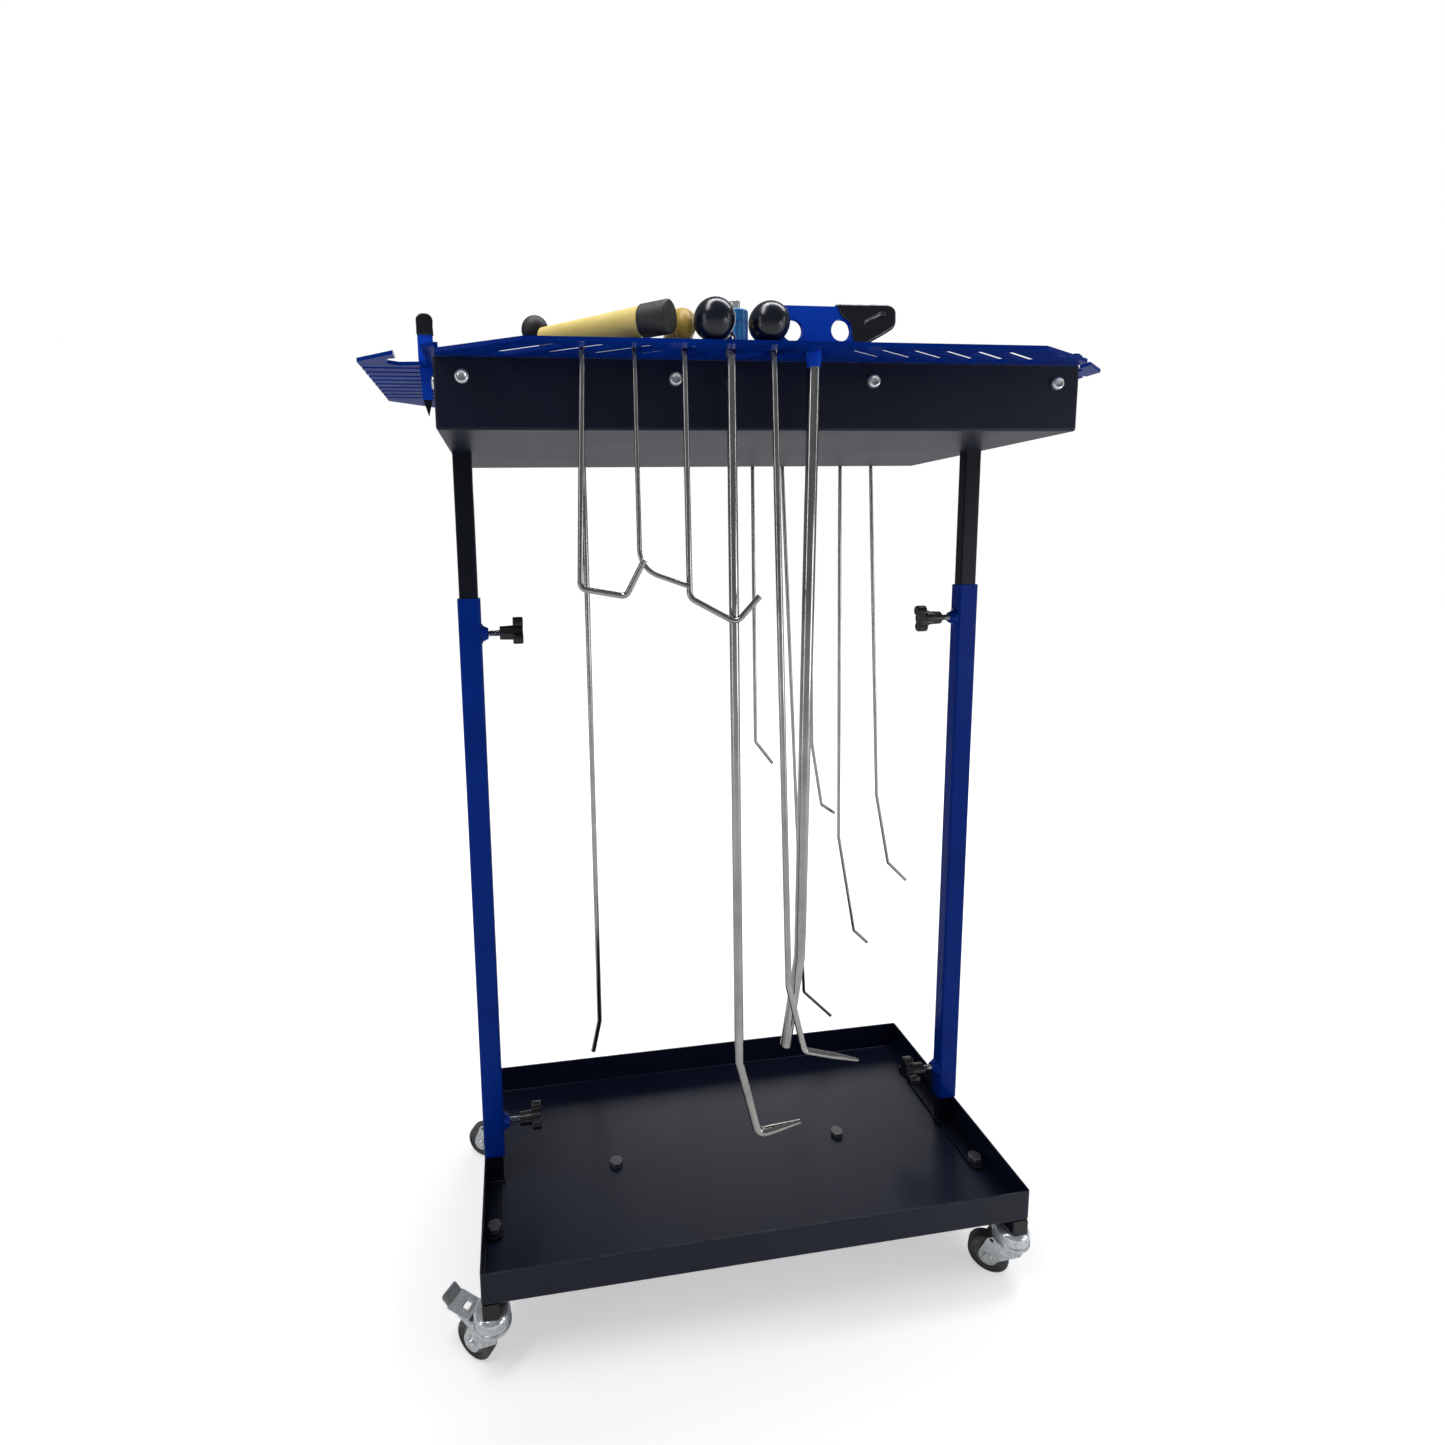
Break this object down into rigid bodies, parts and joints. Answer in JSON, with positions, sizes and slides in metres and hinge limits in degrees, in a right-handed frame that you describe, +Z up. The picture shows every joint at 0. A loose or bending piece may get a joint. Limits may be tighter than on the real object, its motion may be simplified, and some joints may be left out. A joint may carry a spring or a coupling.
{
  "type": "mobile tool stand for panel repair rods",
  "caption": "Wheeled stand with an open tray above and below, telescopic clamped legs, and slotted racks round the top tray carrying long bent steel rods and gripped hand tools.",
  "frame": {"origin": "on the floor, under the middle of the trays", "axes": "+X along the trays to the right, -Y to the front, +Z up"},
  "size_m": [0.868, 0.485, 1.23],
  "materials": {
    "black_sheet": "fine satin black powder coat",
    "blue_paint": "glossy deep blue powder coat",
    "bright_blue_paint": "glossy bright blue paint",
    "black_tube": "semi-gloss black powder coat",
    "zinc": "bright zinc plate",
    "polished_steel": "polished spring steel",
    "knob_plastic": "moulded black plastic with a plated stud",
    "ball_plastic": "polished black phenolic",
    "plug_plastic": "moulded black plastic",
    "grey_tyre": "soft grey rubber",
    "grey_hub": "moulded grey plastic",
    "yellow_grip": "ribbed yellow rubber",
    "mustard_grip": "smooth mustard rubber",
    "black_rubber": "smooth black rubber",
    "black_vinyl": "glossy dipped black vinyl",
    "cyan_plastic": "glossy cyan plastic",
    "dark_bolt": "black oxide steel"
  },
  "bodies": {
    "base": {"lower_tray": "black_sheet", "side_rail_left": "black_tube", "side_rail_right": "black_tube", "centre_rail": "black_tube", "rail_plugs": "plug_plastic", "leg_base_left": "black_tube", "leg_base_right": "black_tube", "floor_bolts": "dark_bolt", "caster_stems": "zinc"},
    "sleeves": {"leg_sleeve_left": "blue_paint", "leg_sleeve_right": "blue_paint"},
    "upper": {"inner_tube_left": "black_tube", "inner_tube_right": "black_tube", "upper_tray": "black_sheet", "rack_front": "blue_paint", "rack_back": "blue_paint", "rack_left": "blue_paint", "rack_right": "blue_paint", "rack_fasteners": "zinc"},
    "clamp_knob_left_low": {"clamp_knob_left_low": "knob_plastic"},
    "clamp_knob_left_high": {"clamp_knob_left_high": "knob_plastic"},
    "clamp_knob_right_low": {"clamp_knob_right_low": "knob_plastic"},
    "clamp_knob_right_high": {"clamp_knob_right_high": "knob_plastic"},
    "caster_fl": {"caster_fl_fork": "zinc"},
    "wheel_fl": {"caster_fl_hub": "grey_hub", "caster_fl_tyre": "grey_tyre"},
    "caster_fr": {"caster_fr_fork": "zinc"},
    "wheel_fr": {"caster_fr_hub": "grey_hub", "caster_fr_tyre": "grey_tyre"},
    "caster_bl": {"caster_bl_fork": "zinc"},
    "wheel_bl": {"caster_bl_hub": "grey_hub", "caster_bl_tyre": "grey_tyre"},
    "caster_br": {"caster_br_fork": "zinc"},
    "wheel_br": {"caster_br_hub": "grey_hub", "caster_br_tyre": "grey_tyre"},
    "brake": {"caster_fl_pedal": "zinc"},
    "rod_01": {"rod_01_hook": "polished_steel"},
    "rod_02": {"rod_02_long": "polished_steel"},
    "rod_03": {"rod_03_hook": "polished_steel", "rod_03_grip": "yellow_grip", "rod_03_grip_ends": "black_rubber"},
    "rod_04": {"rod_04_hook": "polished_steel", "rod_04_grip": "mustard_grip"},
    "rod_05": {"rod_05_bar": "polished_steel", "rod_05_ball": "ball_plastic"},
    "rod_06": {"rod_06_pick": "polished_steel"},
    "rod_07": {"rod_07_bar": "polished_steel", "rod_07_ball": "ball_plastic"},
    "rod_08": {"rod_08_pick": "polished_steel"},
    "rod_09": {"rod_09_tube": "polished_steel", "rod_09_handle": "bright_blue_paint", "rod_09_dip": "black_vinyl"},
    "rod_10": {"rod_10_pick": "polished_steel"},
    "rod_11": {"rod_11_pick": "polished_steel"},
    "rod_12": {"rod_12_pick": "polished_steel"},
    "hook": {"hook_tool": "bright_blue_paint", "hook_dip": "black_vinyl"},
    "pick": {"pick_handle": "cyan_plastic", "pick_ferrule": "zinc"}
  },
  "joints": [
    {"name": "sleeve_slide", "type": "slide", "parent": "base", "child": "sleeves", "axis": [0, 0, 1], "range_m": [0, 0.12]},
    {"name": "height_slide", "type": "slide", "parent": "sleeves", "child": "upper", "axis": [0, 0, 1], "range_m": [-0.1, 0.22]},
    {"name": "clamp_knob_left_low_turn", "type": "hinge", "parent": "sleeves", "child": "clamp_knob_left_low", "pos_m": [-0.3, 0, 0.19], "axis": [1, 0, 0], "range_deg": [-30, 720]},
    {"name": "clamp_knob_left_high_turn", "type": "hinge", "parent": "sleeves", "child": "clamp_knob_left_high", "pos_m": [-0.3, 0, 0.87], "axis": [1, 0, 0], "range_deg": [-30, 720]},
    {"name": "clamp_knob_right_low_turn", "type": "hinge", "parent": "sleeves", "child": "clamp_knob_right_low", "pos_m": [0.3, 0, 0.19], "axis": [-1, 0, 0], "range_deg": [-30, 720]},
    {"name": "clamp_knob_right_high_turn", "type": "hinge", "parent": "sleeves", "child": "clamp_knob_right_high", "pos_m": [0.3, 0, 0.87], "axis": [-1, 0, 0], "range_deg": [-30, 720]},
    {"name": "caster_fl_swivel", "type": "hinge", "parent": "base", "child": "caster_fl", "pos_m": [-0.339, -0.157, 0.075], "axis": [0, 0, 1], "continuous": true},
    {"name": "wheel_fl_roll", "type": "hinge", "parent": "caster_fl", "child": "wheel_fl", "pos_m": [-0.35897, -0.14195, 0.025], "axis": [-0.6018, -0.7986, 0], "continuous": true},
    {"name": "caster_fr_swivel", "type": "hinge", "parent": "base", "child": "caster_fr", "pos_m": [0.339, -0.157, 0.075], "axis": [0, 0, 1], "continuous": true},
    {"name": "wheel_fr_roll", "type": "hinge", "parent": "caster_fr", "child": "wheel_fr", "pos_m": [0.31985, -0.14093, 0.025], "axis": [-0.6428, -0.766, 0], "continuous": true},
    {"name": "caster_bl_swivel", "type": "hinge", "parent": "base", "child": "caster_bl", "pos_m": [-0.339, 0.157, 0.075], "axis": [0, 0, 1], "continuous": true},
    {"name": "wheel_bl_roll", "type": "hinge", "parent": "caster_bl", "child": "wheel_bl", "pos_m": [-0.36107, 0.16874, 0.025], "axis": [-0.4695, -0.8829, 0], "continuous": true},
    {"name": "caster_br_swivel", "type": "hinge", "parent": "base", "child": "caster_br", "pos_m": [0.339, 0.157, 0.075], "axis": [0, 0, 1], "continuous": true},
    {"name": "wheel_br_roll", "type": "hinge", "parent": "caster_br", "child": "wheel_br", "pos_m": [0.3178, 0.17025, 0.025], "axis": [-0.5299, -0.848, 0], "continuous": true},
    {"name": "brake_press", "type": "hinge", "parent": "caster_fl", "child": "brake", "pos_m": [-0.35577, -0.14436, 0.052], "axis": [-0.6018, -0.7986, 0], "range_deg": [0, 8]},
    {"name": "rod_01_lift", "type": "slide", "parent": "upper", "child": "rod_01", "axis": [0, 0, 1], "range_m": [0, 0.06]},
    {"name": "rod_02_lift", "type": "slide", "parent": "upper", "child": "rod_02", "axis": [0, 0, 1], "range_m": [0, 0.06]},
    {"name": "rod_03_lift", "type": "slide", "parent": "upper", "child": "rod_03", "axis": [0, 0, 1], "range_m": [0, 0.06]},
    {"name": "rod_04_lift", "type": "slide", "parent": "upper", "child": "rod_04", "axis": [0, 0, 1], "range_m": [0, 0.06]},
    {"name": "rod_05_lift", "type": "slide", "parent": "upper", "child": "rod_05", "axis": [0, 0, 1], "range_m": [0, 0.06]},
    {"name": "rod_06_lift", "type": "slide", "parent": "upper", "child": "rod_06", "axis": [0, 0, 1], "range_m": [0, 0.06]},
    {"name": "rod_07_lift", "type": "slide", "parent": "upper", "child": "rod_07", "axis": [0, 0, 1], "range_m": [0, 0.06]},
    {"name": "rod_08_lift", "type": "slide", "parent": "upper", "child": "rod_08", "axis": [0, 0, 1], "range_m": [0, 0.06]},
    {"name": "rod_09_lift", "type": "slide", "parent": "upper", "child": "rod_09", "axis": [0, 0, 1], "range_m": [0, 0.06]},
    {"name": "rod_10_lift", "type": "slide", "parent": "upper", "child": "rod_10", "axis": [0, 0, 1], "range_m": [0, 0.06]},
    {"name": "rod_11_lift", "type": "slide", "parent": "upper", "child": "rod_11", "axis": [0, 0, 1], "range_m": [0, 0.06]},
    {"name": "rod_12_lift", "type": "slide", "parent": "upper", "child": "rod_12", "axis": [0, 0, 1], "range_m": [0, 0.06]},
    {"name": "hook_lift", "type": "slide", "parent": "upper", "child": "hook", "axis": [0, 0, 1], "range_m": [0, 0.1]},
    {"name": "pick_lift", "type": "slide", "parent": "upper", "child": "pick", "axis": [0, 0, 1], "range_m": [0, 0.1]}
  ]
}
